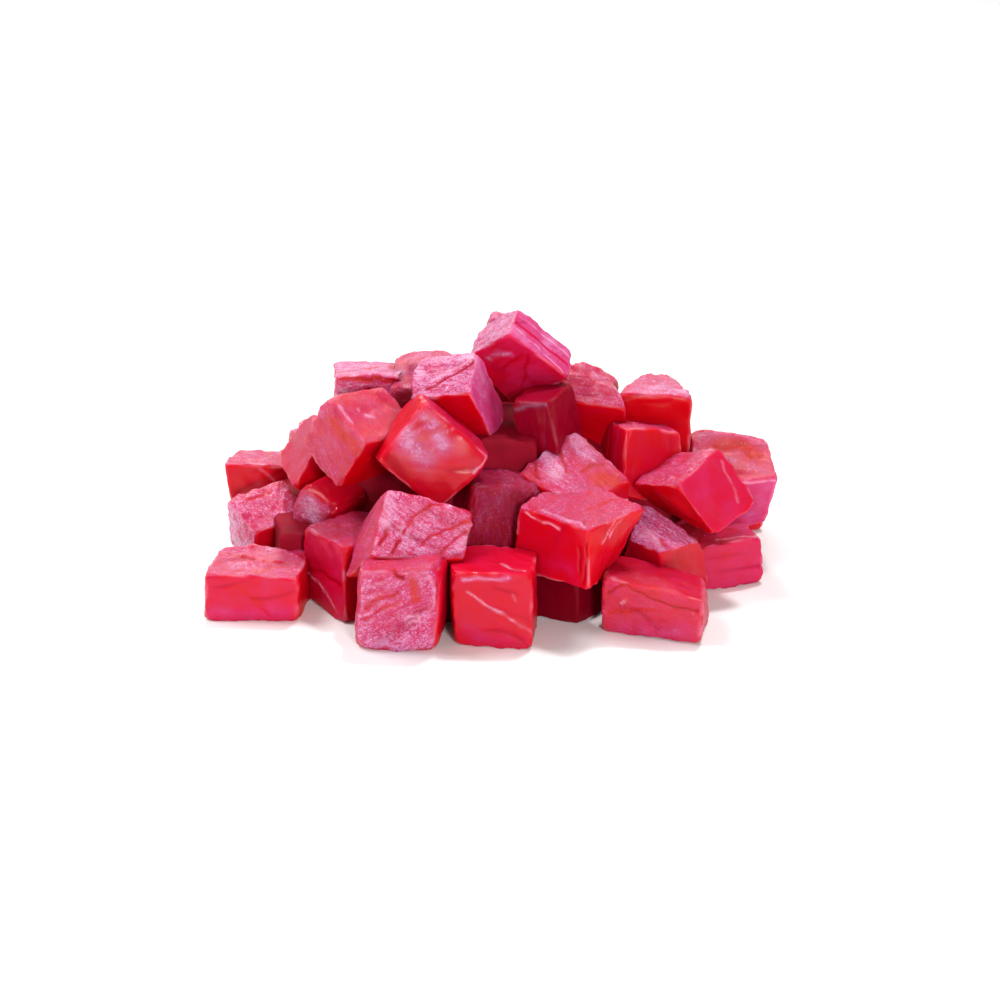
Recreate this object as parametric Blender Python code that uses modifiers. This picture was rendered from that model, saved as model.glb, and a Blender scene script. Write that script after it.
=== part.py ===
"""A heap of raw tuna cut in cubes, as one solid: uneven cubes fused to a smaller core.

Metres, +Z up. The origin is at the middle of the heap's footprint, on the surface it lies on.
"""
import math
import random
from collections import namedtuple

import bmesh
import bpy
from mathutils import Euler, Vector

# Driving dimensions
MM = 0.001
EDGE_ROUNDING = 1.3 * MM
EDGE_SEGMENTS = 2
CORNER_UNEVENNESS = 0.035
SHORTEST_EDGE = 0.005 * MM
CORE_SPREAD = (42 * MM, 31 * MM, 37 * MM)
CORE_CENTRE = (0, 4 * MM, 0)
CORE_SIDES = 20
CORE_RINGS = 12
FLESH = (0.62, 0.035, 0.07, 1)
FLESH_ROUGHNESS = 0.3

# Every cube: its middle and its size along its own axes in millimetres, and how it lies in degrees.
# It is turned about the vertical, then tipped towards the front, then rolled down to the right.
# Taper widens its top, pinch narrows its back, and wedge makes its right end taller.
Cube = namedtuple("Cube", "place middle size turn tip roll taper pinch wedge", defaults=(0, 0, 0, 0, 0, 0))

CUBES = [
    # on the ground, round the front
    Cube("slab at the left end", (-49, -27, 5.2), (20, 18, 10.5), -6),
    Cube("left of the middle", (-29, -25, 8.8), (15, 16, 16.5), 36, 4),
    Cube("front left", (-18.5, -43.5, 8.6), (18, 17, 17), -6, 0, 0, 0.08),
    Cube("front middle", (0.5, -42, 8.2), (17.5, 16, 16.4), -3),
    Cube("in the shade", (15.5, -26.5, 6), (16, 16, 12), -30),
    Cube("front right", (34.5, -38.5, 6.2), (22, 15, 12), -12, 2, 5, 0, 0, -0.16),
    Cube("slab at the right end", (48.5, -8, 5.3), (15, 17, 10.5), 22),
    Cube("left side, lower", (-48.5, -3, 9.2), (14, 12, 13), 32, 24),
    Cube("left side, back", (-52, 22, 8.4), (18, 14, 16.5), 0, -3, 2),
    Cube("right of the middle", (37.5, -23, 10), (14, 14, 14), 45, 14, 4),
    # in the second layer
    Cube("low on the left slope", (-35, -10, 15), (13, 12, 14), 50, 10, 12),
    Cube("over the front left", (-14.5, -37.5, 22.2), (18, 15, 10), 8, 50, 16),
    Cube("in the hollow", (1, -22, 19.5), (15, 14, 16), 15, -5, 8),
    Cube("over the front right", (18.2, -34, 18), (19, 15.5, 13.5), -42, 1),
    Cube("right slope, on edge", (44.2, -13, 20), (21, 12.5, 14), -60, -6, -37),
    Cube("right end, upper", (53, 9, 16), (18, 17, 15), 4, 22, -2, 0.07),
    # in the third layer
    Cube("middle of the left slope", (-13, -22, 33.5), (17, 16, 16.5), 0, -12, 38),
    Cube("left slope, on a corner", (-27.8, -13.5, 33.7), (17, 13.5, 14), 52, 19, 27),
    Cube("left slope, leaning", (-36.5, 3, 23.5), (13, 15, 13.5), 20, 0, 30),
    Cube("middle of the right slope", (17.8, -19.5, 24.2), (16, 16, 10), 45, 22),
    Cube("right slope, upright", (32, -4, 24.7), (13, 14, 15), 23, -14, 6),
    Cube("under the top", (12.5, -9.5, 34.5), (9, 13, 16), -26, 0, -10),
    # at the top
    Cube("left of the top", (-7, -10, 40), (14, 12, 18), -18, 27, -21),
    Cube("top", (6.4, 0.5, 47), (16, 10, 16.5), -33, 6, -46),
    Cube("right of the top", (22.8, 4, 35), (13, 14, 13), -4, 24, 5, 0, 0.2),
    Cube("right shoulder", (35, 8, 31), (15, 15, 15), 0, 6, 3, 0, 0.2),
    Cube("left shoulder", (-27, 10, 32.7), (15, 15, 17), 3, -6),
    Cube("behind the left of the top", (-14.5, 11, 36.5), (15, 15, 14), 0, 25),
    Cube("behind the top", (1.5, 8, 46.8), (6, 7, 14), 0, 0, 15),
    # round the back
    Cube("back left", (-36, 37, 8.5), (17, 17, 17), 25),
    Cube("back, left of the middle", (-17, 42.5, 8), (17, 16, 16), -12),
    Cube("back middle", (2, 41.5, 9), (18, 17, 18), 8),
    Cube("back, right of the middle", (20.5, 42, 8.5), (17, 17, 17), -20),
    Cube("back right", (39, 35, 8.5), (17, 16, 17), 35),
    Cube("back, right end", (53.5, 25, 7.5), (15, 14, 15), 5),
    Cube("back, second layer, left end", (-35, 21, 18), (15, 15, 14), 12, -6, -5),
    Cube("back, second layer, left", (-20, 27, 24), (16, 16, 16), 20, -15),
    Cube("back, second layer, middle", (-1, 30, 23.5), (17, 15, 15), -15, -12, 6),
    Cube("back, second layer, right", (18, 30, 23.5), (16, 15, 15), 30, -10),
    Cube("back, second layer, right end", (35, 21, 21.5), (16, 15, 15), -10, -8, 12),
    Cube("back, third layer, left", (-2, 17.5, 34), (13, 13, 13), 10, -6, 8),
    Cube("back, third layer, right", (19, 16.5, 31), (14, 13, 14), -25, 0, 10),
    # inside, where the gaps between the others let them be seen
    Cube("behind the front pair", (-7, -27, 7), (18, 17, 14)),
    Cube("under the left slope", (-38, -13, 7), (16, 14, 14), 10),
    Cube("under the right slope", (31, -4, 12), (16, 15, 15), -8),
    Cube("under the right end", (45.5, 9, 6.5), (15, 15, 13), 10),
    Cube("on the left side, between two others", (-42.5, 10, 7), (14, 13, 14), -14),
    Cube("deep in the middle", (2, -11, 27), (15, 14, 14), 5),
]

# Where a cut went askew: how far a corner lies from where the cube above has it, in millimetres,
# with the sides named as they are before the cube is turned
MOVED_CORNERS = {
    "slab at the left end": {"right front bottom": (-0.5, 2, 0)},
    "left of the middle": {"left front top": (0, 0, 1), "left front bottom": (0, -2, 0)},
    "front left": {
        "left front top": (2.3, 0, 1), "right front top": (0, 0, 2),
        "left back top": (1, 0, 0.5), "right back top": (0, 0, 1)},
    "front middle": {"left front top": (0.7, 0, 0.4), "left front bottom": (1.3, 1.6, 0)},
    "in the shade": {"right back top": (-1, -4, 0), "right back bottom": (-1, -4, 0)},
    "front right": {
        "left front top": (0, 0, -0.6), "left back top": (1, 0, -1),
        "left front bottom": (2, 2.8, 0), "right back top": (-3, 0, -0.6)},
    "left side, back": {
        "left back top": (2.7, 0, -1), "left back bottom": (4, 0, 0), "left front bottom": (3.7, 1, 0)},
    "right of the middle": {
        "left front top": (-2.4, 0, 1), "right front top": (-3.2, 0, -2),
        "left back top": (1, 0, -3.3), "right back top": (-5, 0, 0)},
    "low on the left slope": {"left back top": (1, 0, -1)},
    "over the front left": {
        "left front top": (-1, 0, -2.2), "left back top": (1, 0, -1.3), "right back top": (1, -3, -4),
        "left front bottom": (-6, -1, -4), "right front bottom": (-1.5, 0, 0),
        "left back bottom": (-4.2, 0, -8.6)},
    "over the front right": {
        "left back top": (1.5, 3, 2), "right back top": (1.7, 0, 0.6),
        "left front bottom": (-1.5, 0, 0.5), "right back bottom": (-3.7, 0, 3.2)},
    "right slope, on edge": {
        "left front top": (-1.4, -8.4, 4.9), "left back top": (-3.7, -4.2, 1),
        "left front bottom": (-7.8, -2, 10.6), "left back bottom": (-4, 0, 4)},
    "right end, upper": {
        "left back top": (2, 0, 0.7), "right back top": (0, 0, -3.2), "right front bottom": (-1.4, 0, 0)},
    "middle of the left slope": {"right front top": (1, 0, -2.4)},
    "left slope, leaning": {"left back top": (1, 0, -1.7)},
    "middle of the right slope": {
        "right front top": (0.7, 0, -2.2), "right back top": (0.5, 0, 1.2), "left back top": (-0.8, 0, -0.4)},
    "right slope, upright": {"left front top": (-0.6, 0, 0.8), "right back top": (0, 0, 2)},
    "top": {
        "left front top": (0.6, 0, 1.3), "left back top": (2, 0, 2), "right back top": (-1.2, 0, -1.1),
        "right front bottom": (1.2, 0, 1.4), "right back bottom": (-1.6, 0, 0.7)},
    "right of the top": {
        "right front top": (-1, 0, 0), "left back top": (-0.8, 0, -0.4), "right back top": (-5, 0, 0)},
    "right shoulder": {
        "left front top": (0.8, 0, 0.9), "right front top": (-0.4, 0, 0.8),
        "left back top": (5.4, 0, 0), "right back top": (-1, 0, -0.7)},
    "behind the left of the top": {"left back top": (1.3, 0, -2.2), "right back top": (-1.5, 0, -2)},
}
SIGNS = {"left": -1, "right": 1, "front": -1, "back": 1, "bottom": -1, "top": 1}


def shaped_corner(corner, cube):
    """A corner of the unit cube, from -1 to 1 each way, moved to where this cube has it."""
    across, deep, up = corner
    width, depth, height = cube.size
    spread = 1 + cube.taper * up
    return Vector((
        width / 2 * across * spread * (1 - cube.pinch * deep),
        depth / 2 * deep * spread,
        height / 2 * up * (1 + cube.wedge * across),
    )) * MM


def corner_moves(cube):
    """The moved corners of this cube, each by its signs along the cube's own axes."""
    moves = MOVED_CORNERS.get(cube.place, {})
    return {tuple(SIGNS[side] for side in corner.split()): Vector(move) * MM for corner, move in moves.items()}


def add_cube(cube, collection):
    """One cube as it was cut: not quite square, its edges a little rounded, flat where it meets the ground."""
    knife = random.Random(cube.place)
    lie = Euler([math.radians(angle) for angle in (cube.tip, cube.roll, cube.turn)], "ZXY").to_matrix()
    middle = Vector(cube.middle) * MM
    mesh = bmesh.new()
    bmesh.ops.create_cube(mesh, size=2)
    moves = corner_moves(cube)
    for vert in mesh.verts:
        off = Vector([knife.uniform(-CORNER_UNEVENNESS, CORNER_UNEVENNESS) for _ in range(3)])
        corner = tuple(round(sign) for sign in vert.co)
        vert.co = lie @ shaped_corner(vert.co + off, cube) + middle + moves.get(corner, Vector())
        vert.co.z = max(vert.co.z, 0)
    data = bpy.data.meshes.new(cube.place)
    mesh.to_mesh(data)
    mesh.free()
    obj = bpy.data.objects.new(cube.place, data)
    collection.objects.link(obj)
    rounding = obj.modifiers.new("rounded edges", "BEVEL")
    rounding.width = EDGE_ROUNDING
    rounding.segments = EDGE_SEGMENTS
    rounding.limit_method = "NONE"
    return obj


def add_core(name, collection):
    """A low dome that fills the inside of the heap, flat on the ground."""
    mesh = bmesh.new()
    bmesh.ops.create_uvsphere(mesh, u_segments=CORE_SIDES, v_segments=CORE_RINGS, radius=1)
    cut = bmesh.ops.bisect_plane(
        mesh, geom=mesh.verts[:] + mesh.edges[:] + mesh.faces[:], dist=1e-6,
        plane_co=(0, 0, 0.01), plane_no=(0, 0, -1), clear_outer=True)
    rim = [item for item in cut["geom_cut"] if isinstance(item, bmesh.types.BMEdge)]
    bmesh.ops.edgeloop_fill(mesh, edges=rim)
    for vert in mesh.verts:
        vert.co = Vector([vert.co[i] * CORE_SPREAD[i] + CORE_CENTRE[i] for i in range(3)])
    lowest = min(vert.co.z for vert in mesh.verts)
    for vert in mesh.verts:
        vert.co.z -= lowest
    bmesh.ops.recalc_face_normals(mesh, faces=mesh.faces)
    data = bpy.data.meshes.new(name)
    mesh.to_mesh(data)
    mesh.free()
    obj = bpy.data.objects.new(name, data)
    collection.objects.link(obj)
    return obj


def keep_the_outside(data):
    """Keeps the one outer skin: sealed hollows are filled, and loose scraps go."""
    mesh = bmesh.new()
    mesh.from_mesh(data)
    left = set(mesh.verts)
    skins = []
    while left:
        skin = {left.pop()}
        edge_of_search = list(skin)
        while edge_of_search:
            vert = edge_of_search.pop()
            for edge in vert.link_edges:
                other = edge.other_vert(vert)
                if other in left:
                    left.remove(other)
                    skin.add(other)
                    edge_of_search.append(other)
        skins.append(skin)
    skins.sort(key=len, reverse=True)
    for skin in skins[1:]:
        bmesh.ops.delete(mesh, geom=list(skin), context="VERTS")
    bmesh.ops.dissolve_degenerate(mesh, dist=SHORTEST_EDGE, edges=mesh.edges)
    bmesh.ops.triangulate(mesh, faces=mesh.faces)
    mesh.to_mesh(data)
    mesh.free()


def centre_on_footprint(data):
    """Puts the middle of the heap's outline over the origin, and its lowest point on the ground."""
    for axis in range(3):
        reach = [vert.co[axis] for vert in data.vertices]
        datum = min(reach) if axis == 2 else (min(reach) + max(reach)) / 2
        for vert in data.vertices:
            vert.co[axis] -= datum


def flesh_material():
    material = bpy.data.materials.new("raw tuna")
    material.use_nodes = True
    shader = material.node_tree.nodes["Principled BSDF"]
    shader.inputs["Base Color"].default_value = FLESH
    shader.inputs["Roughness"].default_value = FLESH_ROUGHNESS
    return material


def main():
    for obj in list(bpy.data.objects):
        bpy.data.objects.remove(obj, do_unlink=True)

    heap_collection = bpy.data.collections.new("Tuna cubes")
    bpy.context.scene.collection.children.link(heap_collection)
    pieces_collection = bpy.data.collections.new("Single cubes")
    bpy.context.scene.collection.children.link(pieces_collection)

    pieces = [add_cube(cube, pieces_collection) for cube in CUBES]
    heap = add_core("tuna_cubes", heap_collection)

    union = heap.modifiers.new("fuse", "BOOLEAN")
    union.operation = "UNION"
    union.operand_type = "COLLECTION"
    union.collection = pieces_collection
    union.solver = "EXACT"

    bpy.context.view_layer.update()
    view = bpy.context.evaluated_depsgraph_get()
    fused = bpy.data.meshes.new_from_object(heap.evaluated_get(view))
    keep_the_outside(fused)
    centre_on_footprint(fused)
    heap.modifiers.clear()
    heap.data = fused
    for piece in pieces:
        bpy.data.objects.remove(piece, do_unlink=True)
    bpy.data.collections.remove(pieces_collection)

    heap.data.materials.clear()
    heap.data.materials.append(flesh_material())
    heap.data.shade_smooth()
    heap.data.set_sharp_from_angle(angle=math.radians(30))


main()
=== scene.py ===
"""Raw tuna cubes in a heap: each cube with its own cut, its muscle seams and its wet surface."""
import math
import random
from collections import namedtuple
from itertools import product

import bmesh
import bpy
import numpy as np
from mathutils import Euler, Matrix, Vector


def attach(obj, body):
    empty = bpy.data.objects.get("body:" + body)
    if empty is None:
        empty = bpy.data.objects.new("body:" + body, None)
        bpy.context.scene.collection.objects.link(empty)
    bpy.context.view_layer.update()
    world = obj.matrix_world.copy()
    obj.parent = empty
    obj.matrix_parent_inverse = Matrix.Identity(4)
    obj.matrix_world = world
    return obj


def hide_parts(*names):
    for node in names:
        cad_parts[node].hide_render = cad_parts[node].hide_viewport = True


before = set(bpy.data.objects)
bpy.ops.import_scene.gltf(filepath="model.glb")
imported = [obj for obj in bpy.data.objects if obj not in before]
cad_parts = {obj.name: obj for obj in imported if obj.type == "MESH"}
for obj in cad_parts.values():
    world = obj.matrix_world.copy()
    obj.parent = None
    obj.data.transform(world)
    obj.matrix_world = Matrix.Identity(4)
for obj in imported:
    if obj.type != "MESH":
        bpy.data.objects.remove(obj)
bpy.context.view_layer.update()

MM = 0.001

# The heap as the solid has it, moved so that the middle of its footprint is at the origin
SHIFT = np.array((-1.344, 0.453, 0.0))
CORNER_UNEVENNESS = 0.035
CORE_SPREAD = (40, 29, 35)
CORE_CENTRE = (0, 4, 0)

# Every cube: its middle and its size along its own axes in millimetres, and how it lies in degrees.
# It is turned about the vertical, then tipped towards the front, then rolled down to the right.
# Taper widens its top, pinch narrows its back, and wedge makes its right end taller.
Cube = namedtuple("Cube", "place middle size turn tip roll taper pinch wedge", defaults=(0, 0, 0, 0, 0, 0))

LAYERS = {
    "ground": [
        Cube("slab at the left end", (-49, -27, 5.2), (20, 18, 10.5), -6),
        Cube("left of the middle", (-29, -25, 8.8), (15, 16, 16.5), 36, 4),
        Cube("front left", (-18.5, -43.5, 8.6), (18, 17, 17), -6, 0, 0, 0.08),
        Cube("front middle", (0.5, -42, 8.2), (17.5, 16, 16.4), -3),
        Cube("in the shade", (15.5, -26.5, 6), (16, 16, 12), -30),
        Cube("front right", (34.5, -38.5, 6.2), (22, 15, 12), -12, 2, 5, 0, 0, -0.16),
        Cube("slab at the right end", (48.5, -8, 5.3), (15, 17, 10.5), 22),
        Cube("left side, lower", (-48.5, -3, 9.2), (14, 12, 13), 32, 24),
        Cube("left side, back", (-52, 22, 8.4), (18, 14, 16.5), 0, -3, 2),
        Cube("right of the middle", (37.5, -23, 10), (14, 14, 14), 45, 14, 4),
    ],
    "second": [
        Cube("low on the left slope", (-35, -10, 15), (13, 12, 14), 50, 10, 12),
        Cube("over the front left", (-14.5, -37.5, 22.2), (18, 15, 10), 8, 50, 16),
        Cube("in the hollow", (1, -22, 19.5), (15, 14, 16), 15, -5, 8),
        Cube("over the front right", (18.2, -34, 18), (19, 15.5, 13.5), -42, 1),
        Cube("right slope, on edge", (44.2, -13, 20), (21, 12.5, 14), -60, -6, -37),
        Cube("right end, upper", (53, 9, 16), (18, 17, 15), 4, 22, -2, 0.07),
    ],
    "third": [
        Cube("middle of the left slope", (-13, -22, 33.5), (17, 16, 16.5), 0, -12, 38),
        Cube("left slope, on a corner", (-27.8, -13.5, 33.7), (17, 13.5, 14), 52, 19, 27),
        Cube("left slope, leaning", (-36.5, 3, 23.5), (13, 15, 13.5), 20, 0, 30),
        Cube("middle of the right slope", (17.8, -19.5, 24.2), (16, 16, 10), 45, 22),
        Cube("right slope, upright", (32, -4, 24.7), (13, 14, 15), 23, -14, 6),
        Cube("under the top", (12.5, -9.5, 34.5), (9, 13, 16), -26, 0, -10),
    ],
    "top": [
        Cube("left of the top", (-7, -10, 40), (14, 12, 18), -18, 27, -21),
        Cube("top", (6.4, 0.5, 47), (16, 10, 16.5), -33, 6, -46),
        Cube("right of the top", (22.8, 4, 35), (13, 14, 13), -4, 24, 5, 0, 0.2),
        Cube("right shoulder", (35, 8, 31), (15, 15, 15), 0, 6, 3, 0, 0.2),
        Cube("left shoulder", (-27, 10, 32.7), (15, 15, 17), 3, -6),
        Cube("behind the left of the top", (-14.5, 11, 36.5), (15, 15, 14), 0, 25),
        Cube("behind the top", (1.5, 8, 46.8), (6, 7, 14), 0, 0, 15),
    ],
    "back": [
        Cube("back left", (-36, 37, 8.5), (17, 17, 17), 25),
        Cube("back, left of the middle", (-17, 42.5, 8), (17, 16, 16), -12),
        Cube("back middle", (2, 41.5, 9), (18, 17, 18), 8),
        Cube("back, right of the middle", (20.5, 42, 8.5), (17, 17, 17), -20),
        Cube("back right", (39, 35, 8.5), (17, 16, 17), 35),
        Cube("back, right end", (53.5, 25, 7.5), (15, 14, 15), 5),
        Cube("back, second layer, left end", (-35, 21, 18), (15, 15, 14), 12, -6, -5),
        Cube("back, second layer, left", (-20, 27, 24), (16, 16, 16), 20, -15),
        Cube("back, second layer, middle", (-1, 30, 23.5), (17, 15, 15), -15, -12, 6),
        Cube("back, second layer, right", (18, 30, 23.5), (16, 15, 15), 30, -10),
        Cube("back, second layer, right end", (35, 21, 21.5), (16, 15, 15), -10, -8, 12),
        Cube("back, third layer, left", (-2, 17.5, 34), (13, 13, 13), 10, -6, 8),
        Cube("back, third layer, right", (19, 16.5, 31), (14, 13, 14), -25, 0, 10),
    ],
    "inside": [
        Cube("behind the front pair", (-7, -27, 7), (18, 17, 14)),
        Cube("under the left slope", (-38, -13, 7), (16, 14, 14), 10),
        Cube("under the right slope", (31, -4, 12), (16, 15, 15), -8),
        Cube("under the right end", (45.5, 9, 6.5), (15, 15, 13), 10),
        Cube("on the left side, between two others", (-42.5, 10, 7), (14, 13, 14), -14),
        Cube("deep in the middle", (2, -11, 27), (15, 14, 14), 5),
    ],
}

# Where a cut went askew: how far a corner lies from where the cube above has it, in millimetres,
# with the sides named as they are before the cube is turned
MOVED_CORNERS = {
    "slab at the left end": {"right front bottom": (-0.5, 2, 0)},
    "left of the middle": {"left front top": (0, 0, 1), "left front bottom": (0, -2, 0)},
    "front left": {
        "left front top": (2.3, 0, 1), "right front top": (0, 0, 2),
        "left back top": (1, 0, 0.5), "right back top": (0, 0, 1)},
    "front middle": {"left front top": (0.7, 0, 0.4), "left front bottom": (1.3, 1.6, 0)},
    "in the shade": {"right back top": (-1, -4, 0), "right back bottom": (-1, -4, 0)},
    "front right": {
        "left front top": (0, 0, -0.6), "left back top": (1, 0, -1),
        "left front bottom": (2, 2.8, 0), "right back top": (-3, 0, -0.6)},
    "left side, back": {
        "left back top": (2.7, 0, -1), "left back bottom": (4, 0, 0), "left front bottom": (3.7, 1, 0)},
    "right of the middle": {
        "left front top": (-2.4, 0, 1), "right front top": (-3.2, 0, -2),
        "left back top": (1, 0, -3.3), "right back top": (-5, 0, 0)},
    "low on the left slope": {"left back top": (1, 0, -1)},
    "over the front left": {
        "left front top": (-1, 0, -2.2), "left back top": (1, 0, -1.3), "right back top": (1, -3, -4),
        "left front bottom": (-6, -1, -4), "right front bottom": (-1.5, 0, 0),
        "left back bottom": (-4.2, 0, -8.6)},
    "over the front right": {
        "left back top": (1.5, 3, 2), "right back top": (1.7, 0, 0.6),
        "left front bottom": (-1.5, 0, 0.5), "right back bottom": (-3.7, 0, 3.2)},
    "right slope, on edge": {
        "left front top": (-1.4, -8.4, 4.9), "left back top": (-3.7, -4.2, 1),
        "left front bottom": (-7.8, -2, 10.6), "left back bottom": (-4, 0, 4)},
    "right end, upper": {
        "left back top": (2, 0, 0.7), "right back top": (0, 0, -3.2), "right front bottom": (-1.4, 0, 0)},
    "middle of the left slope": {"right front top": (1, 0, -2.4)},
    "left slope, leaning": {"left back top": (1, 0, -1.7)},
    "middle of the right slope": {
        "right front top": (0.7, 0, -2.2), "right back top": (0.5, 0, 1.2), "left back top": (-0.8, 0, -0.4)},
    "right slope, upright": {"left front top": (-0.6, 0, 0.8), "right back top": (0, 0, 2)},
    "top": {
        "left front top": (0.6, 0, 1.3), "left back top": (2, 0, 2), "right back top": (-1.2, 0, -1.1),
        "right front bottom": (1.2, 0, 1.4), "right back bottom": (-1.6, 0, 0.7)},
    "right of the top": {
        "right front top": (-1, 0, 0), "left back top": (-0.8, 0, -0.4), "right back top": (-5, 0, 0)},
    "right shoulder": {
        "left front top": (0.8, 0, 0.9), "right front top": (-0.4, 0, 0.8),
        "left back top": (5.4, 0, 0), "right back top": (-1, 0, -0.7)},
    "behind the left of the top": {"left back top": (1.3, 0, -2.2), "right back top": (-1.5, 0, -2)},
}
SIGNS = {"left": -1, "right": 1, "front": -1, "back": 1, "bottom": -1, "top": 1}

# How many squares a side each cube's skin has, and how many cubes share a piece
FINENESS = {"seen": 46, "back": 26, "inside": 22}
MOST_IN_A_PIECE = 7

# How a cut skin differs from a plain block, in millimetres: the rounding of its edges, and each kind of
# relief with its height and then the size of its lumps. Raised grains and wrinkles are pinker too, a painted
# sheen on their tops.
EDGE_ROUNDING = 0.45
CORNER_ROUNDING = 0.9
ROUNDING_CHANGES = (0.2, 5.0)
SWELL_THAT_ROUNDS = 0.6
ROUNDING_BY_SWELL = 6
LARGE_LUMPS = (0.36, 6.5)
SMALL_LUMPS = (0.16, 2.6)
EDGE_LUMPS = (0.25, 1.2)
RIDGES = (0.03, 1.1)
GRAINS = (0.15, 0.95)
WRINKLES = (0.2, 1.9)
GRAINS_PAINTED_SHEEN = 0.07
WRINKLES_PAINTED_SHEEN = 0.09
SEAM_DEPTH = 0.18
SEAM_WIDTH = 0.3
SEAM_SPACING = (3.2, 5.0)
MARK_WANDER = (0.4, 2.0)

# How far ahead of the skin other cubes are looked for, in millimetres, and how much each reach counts towards
# the painted shade between the cubes
CROWDING_REACHES = ((1.2, 0.4), (3.5, 0.35), (7.0, 0.25))

# Colours: those of the flesh go by its pinkness
FLESH_COLOURS = [
    (0.0, (0.56, 0.0, 0.004)), (0.3, (0.56, 0.002, 0.03)), (0.6, (0.56, 0.013, 0.1)),
    (0.8, (0.57, 0.05, 0.195)), (1.0, (0.64, 0.22, 0.43))]
# the seams between the muscle layers take the colour below, and it is also painted shade in cracks and folds
# and between close cubes
SEAM_AND_PAINTED_SHADE_COLOUR = (0.3, 0.0, 0.008, 1)
# pale lines of tissue take the colour below, and so do the painted highlights on edges, glints and sheen
PALE_TISSUE_AND_HIGHLIGHT_COLOUR = (0.77, 0.34, 0.5, 1)
# painted shade: the colour below darkens whole cubes that lie in the shade of others
PAINTED_SHADE_COLOUR = (0.1, 0.0, 0.008, 1)
# painted glints: the colour below and how rare its specks are
PAINTED_GLINT_COLOUR = (0.8, 0.5, 0.62, 1)
PAINTED_GLINT_RARITY = 0.95
# painted shade: the dark colours of the flesh that only shows in the gaps
PAINTED_GAP_SHADE_COLOURS = ((0.16, 0.0, 0.008, 1), (0.34, 0.002, 0.02, 1))

WET_FLESH = {
    "Roughness": 0.5, "IOR": 1.34, "Specular IOR Level": 0.05,
    "Subsurface Weight": 0.7, "Subsurface Radius": (1.0, 0.08, 0.1), "Subsurface Scale": 0.003,
    "Coat Roughness": 0.08, "Coat IOR": 1.6}
DULL_FLESH = {"Roughness": 0.7, "Specular IOR Level": 0.1}

# The studio: each light's place and width in metres and its power in watts, and the camera, which looks
# from the front at a point given in millimetres
LIGHTS = {
    "overhead": ((0.15, 0.2, 0.7), 0.1, 2.8),
    "behind": ((-0.1, 0.85, 0.48), 0.4, 3.2),
    "left": ((-0.42, 0.05, 0.62), 0.4, 3.6),
    "front": ((0.2, -0.87, 0.3), 0.15, 5.6),
}
LIGHTS_AIM = (0, 0, 0.02)
SKY_STRENGTH = 0.34
FLOOR_WIDTH = 6
FLOOR_COLOUR = (0.93, 0.93, 0.93, 1)
FLOOR_ROUGHNESS = 0.6
CAMERA_ELEVATION = 20
CAMERA_AIM = (2, -10, 18)
CAMERA_DISTANCE = 0.6
CAMERA_LENS = 100
CAMERA_SENSOR = 36

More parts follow.
